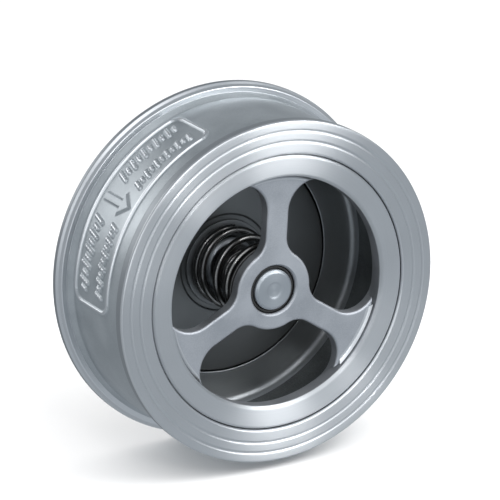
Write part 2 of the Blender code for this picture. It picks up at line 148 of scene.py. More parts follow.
# The stem
STEM_R, COLLAR_R, FOOT_R = 8.0, 9.4, 11.0
FOOT_START, COLLAR_END = 27.8, 37.4
SHOULDER_END = 2.0                                     # the shoulder painted bright as a highlight, past the collar's end
BRIGHT_END = 3.0                                       # length of the stem's bright end
DIMPLE_R = (2.6, 3.4)
DIMPLE_DEPTH = 0.4
THREAD_R, THREAD_START = 4.3, 31.0

# The disc
RECESS_DEPTH, RECESS_R = 43.2, (19.1, 19.7)
REBATE_DEPTH, REBATE_R = 44.4, 36.7                    # the seal lies here

# The spring
WIRE = 2.8
COIL_R, COIL_START = 14.7, math.radians(80)
TURNS, END_TURNS = 4.0, 1.0
END_PITCH = 3.0                                        # of the closed turns at both ends


# ---------------------------------------------------------------- geometry helpers

def place(radius, angle, depth):
    """A point at a radius, an angle from +X towards +Z and a depth, in metres."""
    return Vector((radius * MM * math.cos(angle),
                   FACE_Y + depth * MM,
                   radius * MM * math.sin(angle)))


def depth_range(node):
    """A CAD node's first and last depth."""
    low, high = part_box(node)
    return (low[1] - FACE_Y) / MM, (high[1] - FACE_Y) / MM


def radius_of(node):
    """A CAD node's outer radius."""
    low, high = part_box(node)
    return (high[0] - low[0]) / 2 / MM


def centre_of(node):
    """The x and z of a CAD node's own axis, in metres."""
    low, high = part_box(node)
    return (low[0] + high[0]) / 2, (low[2] + high[2]) / 2


def rounded(profile, closed, steps=4):
    """Round the corners of a (radius, depth, fillet) profile. A fillet of 0 keeps a corner sharp.

    A fillet takes less than half of each side, so two of them never meet.
    """
    points = []
    count = len(profile)
    for k, (radius, depth, fillet) in enumerate(profile):
        here = Vector((radius, depth))
        at_end = not closed and k in (0, count - 1)
        if fillet == 0 or at_end:
            points.append(here)
            continue
        before = Vector(profile[k - 1][:2]) - here
        after = Vector(profile[(k + 1) % count][:2]) - here
        reach = min(fillet, before.length * 0.49, after.length * 0.49)
        start = here + before.normalized() * reach
        end = here + after.normalized() * reach
        for step in range(steps + 1):
            t = step / steps
            points.append(start.lerp(here, t).lerp(here.lerp(end, t), t))
    return points


def split_long(points, closed, longest):
    """Add points to long straight stretches, so that faces stay short and shade evenly."""
    result = []
    ends = list(zip(points, points[1:] + ([points[0]] if closed else [])))
    for a, b in ends:
        pieces = max(1, math.ceil((b - a).length / longest))
        result += [a.lerp(b, k / pieces) for k in range(pieces)]
    if not closed:
        result.append(points[-1])
    return result


def shade(mesh, crease=CREASE):
    """Shade smooth, except over edges sharper than the crease."""
    mesh.shade_smooth()
    mesh.set_sharp_from_angle(angle=math.radians(crease))


def new_object(bm, name):
    """Turn a bmesh into a smooth-shaded object with crisp edges."""
    bmesh.ops.remove_doubles(bm, verts=bm.verts, dist=1e-7)
    bmesh.ops.recalc_face_normals(bm, faces=bm.faces)
    mesh = bpy.data.meshes.new(name)
    bm.to_mesh(mesh)
    bm.free()
    shade(mesh)
    thing = bpy.data.objects.new(name, mesh)
    bpy.context.collection.objects.link(thing)
    return thing


def lathe(name, points, closed, steps=None, angles=None, relief=None):
    """Turn profile points about the bore axis. Relief may move a point out along its radius."""
    bm = bmesh.new()
    turns = angles or [2 * math.pi * k / steps for k in range(steps)]
    columns = []
    for angle in turns:
        column = []
        for point in points:
            lift = relief(point, angle) if relief else 0.0
            column.append(bm.verts.new(place(point.x + lift, angle, point.y)))
        columns.append(column)
    rows = len(points)
    last_row = rows if closed else rows - 1
    for c, column in enumerate(columns):
        beside = columns[(c + 1) % len(columns)]
        for r in range(last_row):
            s = (r + 1) % rows
            corners = [column[r], column[s], beside[s], beside[r]]
            if points[r].x < 1e-6:
                corners = [column[r], column[s], beside[s]]
            elif points[s].x < 1e-6:
                corners = [column[r], column[s], beside[r]]
            bm.faces.new(corners)
    return new_object(bm, name)


def bake(thing, modifier):
    """Make a modifier's result the object's mesh and remove the modifier."""
    bpy.context.view_layer.update()
    evaluated = thing.evaluated_get(bpy.context.evaluated_depsgraph_get())
    mesh = bpy.data.meshes.new_from_object(evaluated)
    thing.modifiers.remove(modifier)
    thing.data = mesh


def boolean(thing, other, operation):
    """Join or cut with the other mesh, which is then removed."""
    modifier = thing.modifiers.new("cut", "BOOLEAN")
    modifier.operation = operation
    modifier.solver = "EXACT"
    modifier.object = other
    bake(thing, modifier)
    bpy.data.objects.remove(other, do_unlink=True)


def even_normals(thing):
    """Keep flat faces flat where they meet rounded edges."""
    modifier = thing.modifiers.new("normals", "WEIGHTED_NORMAL")
    modifier.keep_sharp = True
    bake(thing, modifier)


def adopt(thing, node, slot, *materials):
    """Put a detailed piece in the place of its CAD node, on the same body, with its materials."""
    bodies = frame["record"]["behaviour"]["bodies"]
    owner = next(name for name, members in bodies.items() if node in members)
    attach(thing, owner)
    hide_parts(node)
    thing.data.materials.clear()
    for material in materials:
        thing.data.materials.append(material)


# ---------------------------------------------------------------- materials

LATHE_LINES = 2600                                     # noise scale of the tool marks


class Shader:
    """A small wrapper that keeps node-building readable."""

    def __init__(self, name, colour, roughness, metallic=1.0):
        self.material = bpy.data.materials.new(name)
        self.material.use_nodes = True
        self.tree = self.material.node_tree
        self.surface = self.tree.nodes["Principled BSDF"]
        self.surface.inputs["Metallic"].default_value = metallic
        self.surface.inputs["Base Color"].default_value = (*colour, 1)
        self.surface.inputs["Roughness"].default_value = roughness
        self.coords = self.node("ShaderNodeTexCoord").outputs["Object"]

    def node(self, kind, **values):
        made = self.tree.nodes.new(kind)
        for key, value in values.items():
            if key in made.inputs:
                self.feed(made.inputs[key], value)
            else:
                setattr(made, key, value)
        return made

    def feed(self, socket, value):
        if isinstance(value, bpy.types.NodeSocket):
            self.tree.links.new(value, socket)
        else:
            socket.default_value = value

    def math(self, operation, a, b=0.0, clamp=False):
        made = self.tree.nodes.new("ShaderNodeMath")
        made.operation = operation
        made.use_clamp = clamp
        self.feed(made.inputs[0], a)
        self.feed(made.inputs[1], b)
        return made.outputs[0]

    def ramp(self, value, low, high, out_low, out_high):
        """Map a value from one range to another, clamped at both ends."""
        made = self.tree.nodes.new("ShaderNodeMapRange")
        self.feed(made.inputs["Value"], value)
        for socket, number in zip(("From Min", "From Max", "To Min", "To Max"),
                                  (low, high, out_low, out_high)):
            made.inputs[socket].default_value = number
        return made.outputs["Result"]

    def noise(self, scale, detail=3.0, rough=0.5, vector=None):
        made = self.tree.nodes.new("ShaderNodeTexNoise")
        self.feed(made.inputs["Vector"], vector or self.coords)
        made.inputs["Scale"].default_value = scale
        made.inputs["Detail"].default_value = detail
        made.inputs["Roughness"].default_value = rough
        return made.outputs["Fac"]

    def mix(self, factor, a, b):
        made = self.tree.nodes.new("ShaderNodeMix")
        made.data_type = "RGBA"
        self.feed(made.inputs["Factor"], factor)
        self.feed(made.inputs["A"], a)
        self.feed(made.inputs["B"], b)
        return made.outputs["Result"]

    def radius_and_depth(self):
        """Distance from the object's own Y axis and place along it, in metres."""
        split = self.node("ShaderNodeSeparateXYZ", Vector=self.coords)
        x2 = self.math("MULTIPLY", split.outputs["X"], split.outputs["X"])
        z2 = self.math("MULTIPLY", split.outputs["Z"], split.outputs["Z"])
        return self.math("SQRT", self.math("ADD", x2, z2)), split.outputs["Y"]

    def turned_lines(self):
        """Fine lines left by a lathe tool: noise that changes with radius and depth only."""
        radius, depth = self.radius_and_depth()
        vector = self.node("ShaderNodeCombineXYZ", X=radius, Y=depth).outputs["Vector"]
        return self.noise(LATHE_LINES, 4.0, 0.65, vector)

    def bump(self, height, strength, distance, under=None):
        made = self.tree.nodes.new("ShaderNodeBump")
        self.feed(made.inputs["Height"], height)
        made.inputs["Strength"].default_value = strength
        made.inputs["Distance"].default_value = distance
        if under:
            self.tree.links.new(under, made.inputs["Normal"])
        self.tree.links.new(made.outputs["Normal"], self.surface.inputs["Normal"])
        return made.outputs["Normal"]

    def stretch(self, anisotropic):
        """Stretch highlights across circular tool marks."""
        tangent = self.tree.nodes.new("ShaderNodeTangent")
        tangent.direction_type = "RADIAL"
        tangent.axis = "Y"
        self.tree.links.new(tangent.outputs["Tangent"], self.surface.inputs["Tangent"])
        self.surface.inputs["Anisotropic"].default_value = anisotropic
        self.surface.inputs["Anisotropic Rotation"].default_value = 0.25


def turned_metal(name, light, dark, roughness, anisotropic):
    """Lathe-turned steel: circular tool marks, soft smudges and stretched highlights."""
    s = Shader(name, light, roughness)
    lines = s.turned_lines()
    smudge = s.noise(55, 3, 0.55)
    tone = s.math("MULTIPLY",
                  s.ramp(lines, 0.3, 0.7, 0.6, 1.0),
                  s.ramp(smudge, 0.35, 0.7, 0.85, 1.0))
    s.feed(s.surface.inputs["Base Color"], s.mix(tone, (*dark, 1), (*light, 1)))
    rough = s.math("ADD",
                   s.ramp(lines, 0.3, 0.7, -0.05, 0.05),
                   s.ramp(smudge, 0.3, 0.75, -0.03, 0.06))
    s.feed(s.surface.inputs["Roughness"], s.math("ADD", rough, roughness, clamp=True))
    s.bump(lines, 0.12, 0.00004)
    s.stretch(anisotropic)
    return s.material


def blasted_metal(name, light, dark, roughness, grain=2400, pit_depth=0.00006):
    """Bead-blasted casting: fine pits, a slight waviness and patches rubbed smoother."""
    s = Shader(name, light, roughness)
    pits = s.noise(grain, 3, 0.6)
    wave = s.noise(70, 3, 0.5)
    rubbed = s.ramp(s.noise(28, 4, 0.6), 0.52, 0.72, 0.0, 1.0)
    base = s.mix(s.ramp(s.math("ADD", pits, wave), 0.75, 1.25, 0.0, 1.0), (*dark, 1), (*light, 1))
    bright = tuple(min(1.0, c * 1.08) for c in light)
    s.feed(s.surface.inputs["Base Color"], s.mix(rubbed, base, (*bright, 1)))
    rough = s.math("ADD", s.ramp(wave, 0.3, 0.7, roughness - 0.05, roughness + 0.06),
                   s.ramp(rubbed, 0.0, 1.0, 0.0, -0.05))
    s.feed(s.surface.inputs["Roughness"], rough)
    under = s.bump(wave, 0.25, 0.0003)
    s.bump(pits, 0.35, pit_depth, under)
    return s.material


def plain_material(name, colour, roughness, metallic, spots):
    """A small part's finish: slight colour and roughness variation with a fine grain."""
    s = Shader(name, colour, roughness, metallic)
    grain = s.noise(spots, 4, 0.6)
    dark = tuple(c * 0.72 for c in colour)
    s.feed(s.surface.inputs["Base Color"],
           s.mix(s.ramp(grain, 0.3, 0.7, 0, 1), (*dark, 1), (*colour, 1)))
    s.feed(s.surface.inputs["Roughness"],
           s.ramp(grain, 0.3, 0.7, roughness + 0.08, roughness - 0.06))
    s.bump(grain, 0.12, 0.00002)
    return s.material


def spring_material():
    """Nearly black drawn wire with faint draw marks and a thin film of oil."""
    s = Shader("spring_wire", (0.16, 0.16, 0.16), 0.28)
    grain = s.noise(420, 3, 0.5)
    s.feed(s.surface.inputs["Base Color"],
           s.mix(s.ramp(grain, 0.35, 0.7, 0, 1), (0.13, 0.13, 0.128, 1), (0.19, 0.19, 0.187, 1)))
    s.feed(s.surface.inputs["Roughness"], s.ramp(grain, 0.3, 0.7, 0.33, 0.26))
    s.surface.inputs["Coat Weight"].default_value = 0.7
    s.surface.inputs["Coat Roughness"].default_value = 0.1
    s.bump(grain, 0.1, 0.00003)
    return s.material


# ---------------------------------------------------------------- body

def smooth_step(value, edge):
    """A soft step from 0 to 1, as wide as the edge, about a value of 0."""
    t = min(max(value / edge + 0.5, 0.0), 1.0)
    return t * t * (3 - 2 * t)


def box_distance(u, v, half_u, half_v, corner):
    """Signed distance to a rounded rectangle, negative inside."""
    du, dv = abs(u) - half_u + corner, abs(v) - half_v + corner
    return math.hypot(max(du, 0.0), max(dv, 0.0)) + min(max(du, dv), 0.0) - corner


def arrow_distance(u, v):
    """Signed distance to the flow arrow, which points towards the outlet."""
    shaft_end = ARROW_NECK + ARROW_OVERLAP
    middle, half_length = (ARROW_REACH - shaft_end) / 2, (ARROW_REACH + shaft_end) / 2
    shaft = box_distance(u, v - middle, ARROW_SHAFT, half_length, SOFT_CORNER)
    slope = math.atan2(ARROW_HEAD, ARROW_REACH - ARROW_NECK)
    side = (abs(u) - (v + ARROW_REACH) * math.tan(slope)) * math.cos(slope)
    return min(shaft, max(side, v + ARROW_NECK))


def mark_distance(u, v):
    """Signed distance to two rows of plain slanted bars, long and short in turn."""
    side = math.copysign(1.0, u)
    best = FAR
    for row, pitch, tall in MARK_ROWS:
        nearest = round((abs(u) - MARKS_FROM) / pitch)
        for slot in (nearest - 1, nearest, nearest + 1):
            if 0 <= slot <= (MARKS_TO - MARKS_FROM) / pitch:
                x = u - side * (MARKS_FROM + pitch * slot) - MARK_SLANT * (v - row)
                half = tall if slot % 2 == 0 else SHORT_MARK * tall
                best = min(best, box_distance(x, v - row, MARK_HALF, half, SOFT_CORNER))
    return best


def barrel_relief(point, angle):
    """How far the cast frame and its marks stand out of the barrel here."""
    u = (FRAME_ANGLE - angle) * BARREL_R
    v = point.y - FRAME_DEPTH
    if point.x < BARREL_R - 0.01 or abs(v) > FRAME_SIZE[1] / 2 + RAISED_MARGIN:
        return 0.0
    edge = box_distance(u, v, FRAME_SIZE[0] / 2, FRAME_SIZE[1] / 2, FRAME_CORNER)
    if edge > RAISED_MARGIN:
        return 0.0
    line = abs(edge + FRAME_LINE / 2) - FRAME_LINE / 2
    nearest = min(line, arrow_distance(u, v), mark_distance(u, v))
    return max(0.0, RAISED * smooth_step(-nearest, RAISED_SLOPE) - (point.x - BARREL_R))


def groove(radius, depth, step):
    """One soft gasket groove, from its bore side to its rim side."""
    return [(radius - GROOVE_HALF, depth, 0.3), (radius, depth + step, 0.45),
            (radius + GROOVE_HALF, depth, 0.3)]


def body_points():
    """The body's outline: outlet face, rims and barrel, inlet face, then back through the bore."""
    outlet = [(RING_SEAT_R, 1.0, 0.2), (RING_R + 1.0, 0.0, 0.5)]
    for radius in GROOVE_R:
        outlet += groove(radius, 0.0, GROOVE_DEPTH)
    barrel_start, barrel_end = BARREL_ENDS
    outlet += [(OUTLET_RIM_R, 0.0, 1.3), (OUTLET_RIM_R, OUTLET_RIM_BACK, 0.8),
               (BARREL_R, barrel_start, 1.2)]
    inlet_step = [(BARREL_R, barrel_end, 0.6), (LIP_R, LIP_DEPTH, 0.3),
                  (LIP_R - 0.1, STEP_DEPTH, 0.15), (STEP_R[0], STEP_DEPTH, 0.4),
                  (STEP_R[1], INLET_RIM_FRONT - 1.0, 0.3), (RIM_R, INLET_RIM_FRONT, 0.3),
                  (RIM_R, LENGTH, 0.6)]
    inlet = []
    for radius in reversed(GROOVE_R):
        inlet += list(reversed(groove(radius, LENGTH, -GROOVE_DEPTH)))
    seat = [(INLET_BORE_R, LENGTH, 0.6), (INLET_BORE_R, POCKET_DEPTH, 0.1),
            (SEAT_LIP_R[0], SEAT_DEPTH, 0.3), (SEAT_LIP_R[1], SEAT_DEPTH, 0.3),
            (SEAT_LIP_R[1] + LIP_SLOPE, POCKET_DEPTH, 0.1), (POCKET_R, POCKET_DEPTH, 0.3)]
    shoulder_front, shoulder_back = SHOULDER_DEPTHS
    chamber = [(POCKET_R, FLOOR_DEPTH, 0.4), (CHAMBER_R, FLOOR_DEPTH, FLOOR_FILLET),
               (CHAMBER_R, CHAMBER_START, 3.0), (SHOULDER_R, shoulder_back, 0.8),
               (SHOULDER_R, shoulder_front, 0.3), (RING_SEAT_R, shoulder_front, 0.2)]
    smooth = rounded(outlet + inlet_step + inlet + seat + chamber, True, 5)
    points = []
    for a, b in zip(smooth, smooth[1:] + smooth[:1]):
        on_barrel = min(a.x, b.x) > BARREL_R - 0.01 and FINE_DEPTHS[0] < a.y < FINE_DEPTHS[1]
        longest = 0.4 if on_barrel else 4.0
        pieces = max(1, math.ceil((b - a).length / longest))
        points += [a.lerp(b, k / pieces) for k in range(pieces)]
    return points


def body_angles():
    """Fine steps over the raised frame and wider ones round the rest."""
    fine_steps, wide_steps = 216, 170
    half = (FRAME_SIZE[0] / 2 + 1.5) / BARREL_R
    fine = [FRAME_ANGLE - half + 2 * half * k / fine_steps for k in range(fine_steps)]
    rest = 2 * math.pi - 2 * half
    return fine + [FRAME_ANGLE + half + rest * k / wide_steps for k in range(wide_steps)]


def body_finish(face):
    """Which of the body's finishes a face has, from where it lies and which way it looks."""
    centre = face.center / MM
    radius, depth = math.hypot(centre.x, centre.z), centre.y - FACE_Y / MM
    # Painted shade: the chamber's walls take the near-black raw casting, standing in for the shade
    # inside the body.
    if radius < CHAMBER_R + 0.2 and RAW_DEPTHS[0] < depth < RAW_DEPTHS[1]:
        # Painted highlight: the bored floor and its fillet up the wall take brighter steel than the
        # wall, for the bright streak where they meet.
        floor_highlight = depth > FLOOR_DEPTH - 3.6 and radius > POCKET_R + 0.05
        return BORED_HIGHLIGHT if floor_highlight else RAW_AND_SHADE
    if BARREL_DEPTHS[0] < depth < BARREL_DEPTHS[1] and radius < OUTLET_RIM_R:
        across = abs(math.atan2(centre.z, centre.x) - FRAME_ANGLE) * BARREL_R
        on_arrow = across < ARROW_ROOM[0] and abs(depth - FRAME_DEPTH) < ARROW_ROOM[1]
        # Painted highlight: the flat tops of the raised frame and marks take the brighter satin
        # steel, except on the arrow.
        highlit_top = radius > BARREL_R + 0.6 * RAISED and depth < HIGHLIT_TOPS_END
        return SATIN if highlit_top and not on_arrow else BLASTED
    # Painted shade: the outlet rim's side and the inlet rim's outer side take the darker side
    # steel.
    if OUTLET_SIDE_START < depth < BARREL_DEPTHS[0]:
        return SHADED_SIDES
    if depth > INLET_RIM_FRONT and radius > RIM_R - 0.1:
        return SHADED_SIDES
    if radius > RING_R and (abs(face.normal.y) < 0.8 or 1.0 < depth < LENGTH - 1.0):
        return SATIN
    return MACHINED


def make_body(*finishes):
    """One casting: turned gasket faces and rims, a blasted barrel, an as-cast chamber and a bored
    floor; painted shade darkens the chamber and the rim sides, painted highlights brighten the
    floor and raised tops.
    """
    body = lathe("valve_body", body_points(), True, angles=body_angles(), relief=barrel_relief)
    adopt(body, "body", "turned_body", *finishes)
    for face in body.data.polygons:
        face.material_index = body_finish(face)


def make_ring(machined, satin):
    """The dished ring: turned in front, plain satin in its bore."""
    front, back = RING_DEPTHS
    profile = [(BORE_R, RING_BORE_START, 0.4), (BORE_R + RING_LIP, RING_LIP_DEPTH, 0.5),
               (RING_R - 0.9, front + 0.05, 0.4), (RING_R, front + 1.0, 0.4),
               (RING_R, back, 0.2), (BORE_R, back, 0.4)]
    ring = lathe("outlet_ring", split_long(rounded(profile, True), True, 3.0), True, 200)
    adopt(ring, "retaining_ring", "turned_ring", machined, satin)
    for face in ring.data.polygons:
        if math.hypot(face.center.x, face.center.z) / MM < BORE_R + 0.05:
            face.material_index = 1


# ---------------------------------------------------------------- guide spider

def arc(centre, radius, start, end, steps):
    """Points along an arc, with both its ends."""
    angles = [start + (end - start) * k / steps for k in range(steps + 1)]
    return [centre + radius * Vector((math.cos(a), math.sin(a))) for a in angles]


def bearing(vector):
    """The angle a flat vector points at."""
    return math.atan2(vector.y, vector.x)


def window_half(grow):
    """Half a window, from the rim to the hub, its outline moved out into the metal by grow."""
    arm = math.pi / ARM_COUNT
    along = Vector((math.cos(arm), math.sin(arm)))
    inward = Vector((math.sin(arm), -math.cos(arm)))
    corner_off = ARM_HALF + WINDOW_CORNER
    corner_along = math.sqrt((WINDOW_R - WINDOW_CORNER) ** 2 - corner_off ** 2)
    corner = along * corner_along + inward * corner_off
    hub_off = ARM_HALF + HUB_FILLET
    fillet = along * math.sqrt((HUB_R + HUB_FILLET) ** 2 - hub_off ** 2) + inward * hub_off
    side = bearing(-inward)
    points = arc(Vector((0, 0)), WINDOW_R + grow, 0.0, bearing(corner), 16)
    points += arc(corner, WINDOW_CORNER + grow, bearing(corner), side, 16)[1:]
    arm_end = fillet + (HUB_FILLET + grow) * -inward
    points += [points[-1].lerp(arm_end, k / 6) for k in range(1, 6)]
    points += arc(fillet, HUB_FILLET + grow, side, bearing(fillet) + math.pi, 20)
    points += arc(Vector((0, 0)), HUB_R - grow, bearing(fillet), 0.0, 10)[1:]
    return points


def window_outline(middle, grow):
    """A whole window's outline, turned to its middle's angle."""
    half = window_half(grow)
    mirrored = [Vector((p.x, -p.y)) for p in reversed(half)]
    turn = Matrix.Rotation(middle, 2)
    return [turn @ p for p in half[:-1] + mirrored[:-1]]


def plate_with_windows(name):
    """The spider's plate: windows with rounded edges front and back."""
    bm = bmesh.new()
    quarter = [k / 6 * math.pi / 2 for k in range(7)]
    front = [(FRONT_EDGE * (1 - math.sin(a)), SPIDER_FRONT + FRONT_EDGE * (1 - math.cos(a)))
             for a in quarter]
    back = [(BACK_EDGE * (1 - math.cos(a)), SPIDER_BACK - BACK_EDGE * (1 - math.sin(a)))
            for a in quarter]
    levels = front + back
    rims = {SPIDER_FRONT: [], SPIDER_BACK: []}
    for k in range(ARM_COUNT):
        middle = ARM_ANGLE + (k + 0.5) * 2 * math.pi / ARM_COUNT
        loops = []
        for grow, depth in levels:
            outline = window_outline(middle, grow)
            loops.append([bm.verts.new(Vector((p.x * MM, FACE_Y + depth * MM, p.y * MM)))
                          for p in outline])
        for first, second in zip(loops, loops[1:]):
            for i in range(len(first)):
                j = (i + 1) % len(first)
                bm.faces.new((first[i], first[j], second[j], second[i]))
        rims[SPIDER_FRONT].append(loops[0])
        rims[SPIDER_BACK].append(loops[-1])
    outer = {}
    for depth, loops in rims.items():
        ring = [bm.verts.new(place(RING_R, 2 * math.pi * k / 180, depth)) for k in range(180)]
        outer[depth] = ring
        edges = []
        for loop in loops + [ring]:
            for a, b in zip(loop, loop[1:] + loop[:1]):
                edges.append(bm.edges.get((a, b)) or bm.edges.new((a, b)))
        bmesh.ops.triangle_fill(bm, edges=edges, use_beauty=True)
    first, second = outer[SPIDER_FRONT], outer[SPIDER_BACK]
    for i in range(len(first)):
        j = (i + 1) % len(first)
        bm.faces.new((first[i], first[j], second[j], second[i]))
    return new_object(bm, name)


def make_arm_ramps(material):
    """The short slope where each arm's face runs up to the ring, within the windows' corners, in
    brighter steel as a painted highlight.
    """
    outer = CORE_R - 0.05
    slope = rounded([(RAMP_R[0], SPIDER_FRONT + RAMP_ROOT, 0), (RAMP_R[1], SPIDER_FRONT, 0.1),
                     (RAMP_R[2], SPIDER_FRONT - 0.3, 0.8), (outer, SPIDER_FRONT - RAMP_RISE, 0),
                     (outer, SPIDER_FRONT + RAMP_ROOT, 0)], False)
    reach = WINDOW_R - WINDOW_CORNER
    off_axis = math.asin((ARM_HALF + WINDOW_CORNER) / reach)
    corner = WINDOW_CORNER + FRONT_EDGE
    bm = bmesh.new()
    steps = 24
    for k in range(ARM_COUNT):
        middle = ARM_ANGLE + k * 2 * math.pi / ARM_COUNT
        columns = []
        for step in range(steps + 1):
            column = []
            for point in slope:
                beside = (reach ** 2 + point.x ** 2 - corner ** 2) / (2 * reach * point.x)
                half = off_axis - math.acos(beside)
                angle = middle + half * (2 * step / steps - 1)
                column.append(bm.verts.new(place(point.x, angle, point.y)))
            columns.append(column)
        for first, second in zip(columns, columns[1:]):
            for r in range(len(slope)):
                s = (r + 1) % len(slope)
                bm.faces.new((first[r], first[s], second[s], second[r]))
        bm.faces.new(columns[0])
        bm.faces.new(list(reversed(columns[-1])))
    ramps = new_object(bm, "arm_ramps")
    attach(ramps, "housing")
    # Painted highlight: the ramps take the brighter rim steel rather than the spider's cast finish.
    ramps.data.materials.append(material)


def make_spider(blasted, shade_cast):
    """The cast spider: plate, guide sleeve, the step for the ring and the hub's flared bore."""
    spider = plate_with_windows("spider_casting")
    sleeve_end = depth_range("guide_spider")[1]
    sleeve = rounded([(0, SPIDER_BACK - 1, 0), (SLEEVE_R, SPIDER_BACK - 1, 0),
                      (SLEEVE_R, sleeve_end, 0.6), (0, sleeve_end, 0)], False)
    boolean(spider, lathe("sleeve", sleeve, False, 96), "UNION")
    step = [(CORE_R, SPIDER_FRONT - 1, 0), (RING_R + 2, SPIDER_FRONT - 1, 0),
            (RING_R + 2, FLANGE_FRONT, 0), (CORE_R, FLANGE_FRONT, 0)]
    boolean(spider, lathe("rim_step", rounded(step, True), True, 180), "DIFFERENCE")
    flare, chamfer = 1.9, 0.7
    hole = [(0, SPIDER_FRONT - 1, 0), (HUB_BORE_R + flare, SPIDER_FRONT - 1, 0),
            (HUB_BORE_R + chamfer, SPIDER_FRONT + 0.1, 0.6),
            (HUB_BORE_R, SPIDER_FRONT + 1.0, 0.5), (HUB_BORE_R, sleeve_end + 1, 0),
            (0, sleeve_end + 1, 0)]
    boolean(spider, lathe("hub_bore", rounded(hole, False), False, 120), "DIFFERENCE")
    shade(spider.data)
    even_normals(spider)
    adopt(spider, "guide_spider", "cast_spider", blasted, shade_cast)
    # Painted shade: the faces behind the plate and the guide sleeve take the dark raw casting.
    for face in spider.data.polygons:
        if face.center.y - FACE_Y > (SPIDER_BACK - 0.1) * MM:
            face.material_index = 1


# ---------------------------------------------------------------- turned and small parts

def make_stem(ground, oiled_and_shaded):
    """The stem: a bright turned end and shoulder on an oily shaft and foot, the shaft and foot
    darkened as painted shade, the shoulder a painted highlight.
    """
    front, back = depth_range("stem")
    chamfer = 1.1
    profile = [(0, front + DIMPLE_DEPTH, 0), (DIMPLE_R[0], front + DIMPLE_DEPTH - 0.02, 0.6),
               (DIMPLE_R[1], front + 0.02, 0.6), (STEM_R - chamfer, front, 0.35),
               (STEM_R, front + chamfer, 0.4), (STEM_R, FOOT_START - 0.5, 0.3),
               (STEM_R + 0.6, FOOT_START, 0.4), (COLLAR_R, FOOT_START, 0.6),
               (COLLAR_R, COLLAR_END, 0.4), (FOOT_R, COLLAR_END + 1.3, 0.9), (FOOT_R, back, 0.4),
               (THREAD_R, back, 0.2), (THREAD_R, THREAD_START, 0.2), (0, THREAD_START, 0)]
    stem = lathe("guide_stem", split_long(rounded(profile, False), False, 3.0), False, 120)
    adopt(stem, "stem", "stem_steel", ground, oiled_and_shaded)
    for face in stem.data.polygons:
        depth = (face.center.y - FACE_Y) / MM
        # Painted highlight: the shoulder keeps the bright end steel, for a bright patch between the
        # coils.
        highlit_shoulder = COLLAR_END - 0.4 < depth < COLLAR_END + SHOULDER_END
        # Painted shade: past its end, the stem takes the dark oily steel.
        if depth > front + BRIGHT_END and not highlit_shoulder:
            face.material_index = 1


def make_disc(material):
    """The disc: a shallow recess for the spring's foot, and a rebate for the seal behind."""
    face, back = depth_range("disc")
    radius = radius_of("disc")
    profile = [(0, RECESS_DEPTH, 0), (RECESS_R[0], RECESS_DEPTH, 0.3), (RECESS_R[1], face, 0.3),
               (radius, face, 0.9), (radius, REBATE_DEPTH, 0.3), (REBATE_R, REBATE_DEPTH, 0.1),
               (REBATE_R, back, 0.3), (0, back, 0)]
    disc = lathe("closing_disc", split_long(rounded(profile, False), False, 3.0), False, 200)
    adopt(disc, "disc", "disc_steel", material)


def flat_ring(name, node, inner, slot, material):
    """A washer, seal or bush: a flat ring with softened edges, as large as its CAD node."""
    first, last = depth_range(node)
    outer = radius_of(node)
    fillet = 0.25
    profile = [(inner, first, fillet), (outer, first, fillet), (outer, last, fillet),
               (inner, last, fillet)]
    ring = lathe(name, split_long(rounded(profile, True), True, 3.0), True, 140)
    adopt(ring, node, slot, material)


def make_clamp_plate(material):
    """The inlet plate, with its countersunk holes."""
    first, last = depth_range("seal_clamp_plate")
    radius = radius_of("seal_clamp_plate")
    profile = [(0, first, 0), (radius, first, 0.2), (radius, last, 0.7), (0, last, 0)]
    plate = lathe("inlet_plate", split_long(rounded(profile, False), False, 4.0), False, 180)
    for node in CLAMP_NODES + ["stem_screw"]:
        head = radius_of(node)
        room = 0.3
        cone = [(0, first - 1, 0), (head - 2.6, first - 1, 0), (head - 1.6, first - 0.2, 0),
                (head + room - 0.05, last - 0.1, 0.1), (head + room, last + 1, 0),
                (0, last + 1, 0)]
        cutter = lathe("hole", rounded(cone, False), False, 48)
        x, z = centre_of(node)
        cutter.location = (x, 0, z)
        bpy.context.view_layer.update()
        boolean(plate, cutter, "DIFFERENCE")
    shade(plate.data)
    adopt(plate, "seal_clamp_plate", "plate_steel", material)


def make_screw(node, shank_r, socket_r, material):
    """A countersunk socket screw, turned about its own centre."""
    tip, top = depth_range(node)
    head = radius_of(node)
    neck = top - (head - shank_r) - 0.3
    profile = [(0, tip, 0), (shank_r - 0.4, tip, 0.2), (shank_r, tip + 0.5, 0.2),
               (shank_r, neck, 0.3), (head, top - 0.3, 0.15), (head - 0.05, top, 0.15), (0, top, 0)]
    screw = lathe(f"{node}_steel", rounded(profile, False), False, 48)
    depth = min(socket_r * 1.4, top - neck)
    rim = socket_r + 0.3
    socket = rounded([(0, top - depth - 0.5, 0), (socket_r * 0.9, top - depth, 0),
                      (socket_r, top - 0.25, 0), (rim, top + 0.05, 0), (rim, top + 1, 0),
                      (0, top + 1, 0)], False)
    boolean(screw, lathe("socket", socket, False, 6), "DIFFERENCE")
    shade(screw.data, 30)
    x, z = centre_of(node)
    screw.location = (x, 0, z)
    adopt(screw, node, "screw_steel", material)


def make_dowel(node, material):
    """A short pin with softened ends."""
    first, last = depth_range(node)
    radius = radius_of(node)
    profile = [(0, first, 0), (radius, first, 0.3), (radius, last, 0.3), (0, last, 0)]
    dowel = lathe(f"{node}_pin", rounded(profile, False), False, 32)
    x, z = centre_of(node)
    dowel.location = (x, 0, z)
    adopt(dowel, node, "dowel_steel", material)


